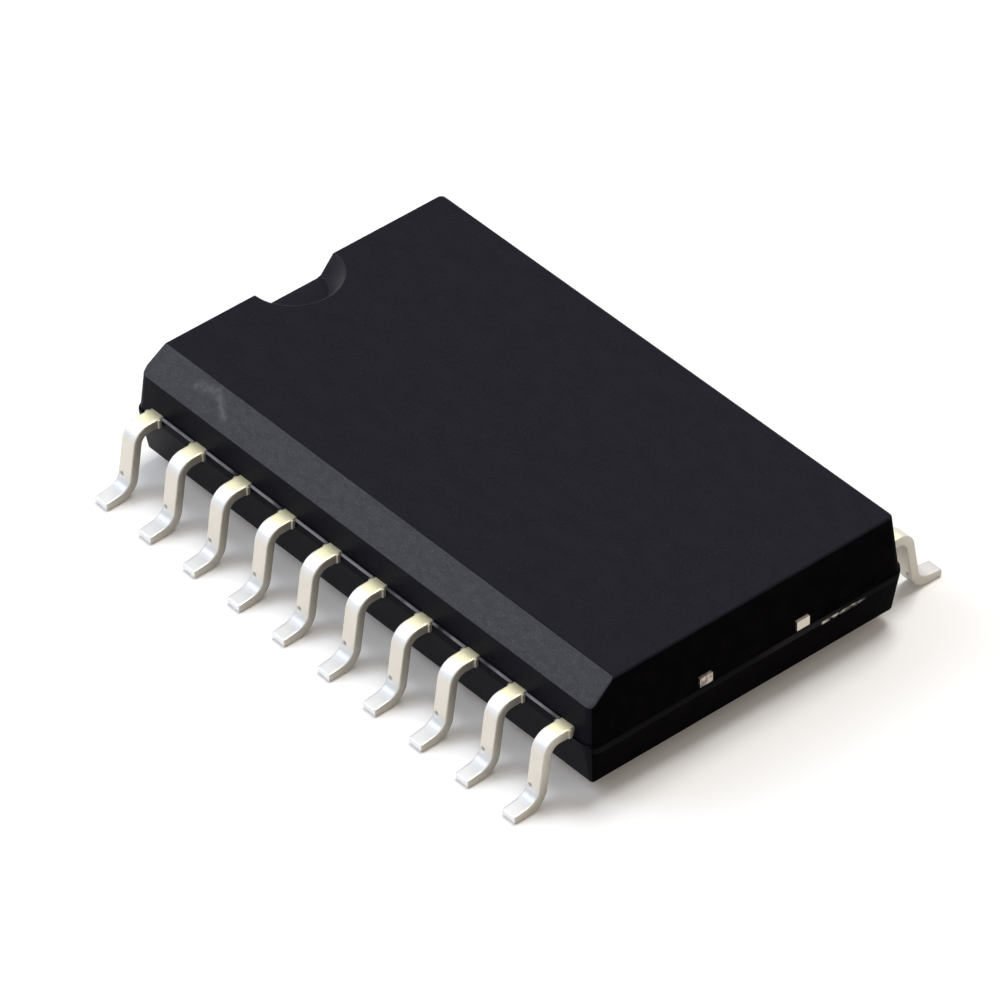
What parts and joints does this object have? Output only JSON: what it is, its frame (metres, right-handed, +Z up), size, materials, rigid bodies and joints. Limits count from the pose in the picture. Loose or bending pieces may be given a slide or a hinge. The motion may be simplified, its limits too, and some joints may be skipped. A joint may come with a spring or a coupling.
{
  "type": "bus transceiver chip",
  "caption": "Surface-mount chip in a wide black moulded small-outline package with gull-wing leads along two sides, a bevelled edge and an end notch; drives and receives a data bus.",
  "frame": {"origin": "on the seating plane, under the middle of the body", "axes": "+X along the lead rows, away from the notch; +Z up from the seating plane; lead 1 at the -X end of the -Y row"},
  "size_m": [0.0128, 0.0102, 0.0025],
  "materials": {
    "moulded_epoxy": "fine matt moulded surface",
    "tinned_lead": "satin tin plating",
    "paddle_copper": "rolled copper alloy",
    "attach_film": "cured silver-filled adhesive",
    "silicon": "polished silicon",
    "bond_gold": "drawn gold"
  },
  "bodies": {
    "root": {"moulded_body": "moulded_epoxy", "lead_01": "tinned_lead", "lead_02": "tinned_lead", "lead_03": "tinned_lead", "lead_04": "tinned_lead", "lead_05": "tinned_lead", "lead_06": "tinned_lead", "lead_07": "tinned_lead", "lead_08": "tinned_lead", "lead_09": "tinned_lead", "lead_10": "tinned_lead", "lead_11": "tinned_lead", "lead_12": "tinned_lead", "lead_13": "tinned_lead", "lead_14": "tinned_lead", "lead_15": "tinned_lead", "lead_16": "tinned_lead", "lead_17": "tinned_lead", "lead_18": "tinned_lead", "lead_19": "tinned_lead", "lead_20": "tinned_lead", "die_paddle": "paddle_copper", "die_attach": "attach_film", "silicon_die": "silicon", "bond_wire_01": "bond_gold", "bond_wire_02": "bond_gold", "bond_wire_03": "bond_gold", "bond_wire_04": "bond_gold", "bond_wire_05": "bond_gold", "bond_wire_06": "bond_gold", "bond_wire_07": "bond_gold", "bond_wire_08": "bond_gold", "bond_wire_09": "bond_gold", "bond_wire_10": "bond_gold", "bond_wire_11": "bond_gold", "bond_wire_12": "bond_gold", "bond_wire_13": "bond_gold", "bond_wire_14": "bond_gold", "bond_wire_15": "bond_gold", "bond_wire_16": "bond_gold", "bond_wire_17": "bond_gold", "bond_wire_18": "bond_gold", "bond_wire_19": "bond_gold", "bond_wire_20": "bond_gold"}
  },
  "joints": []
}
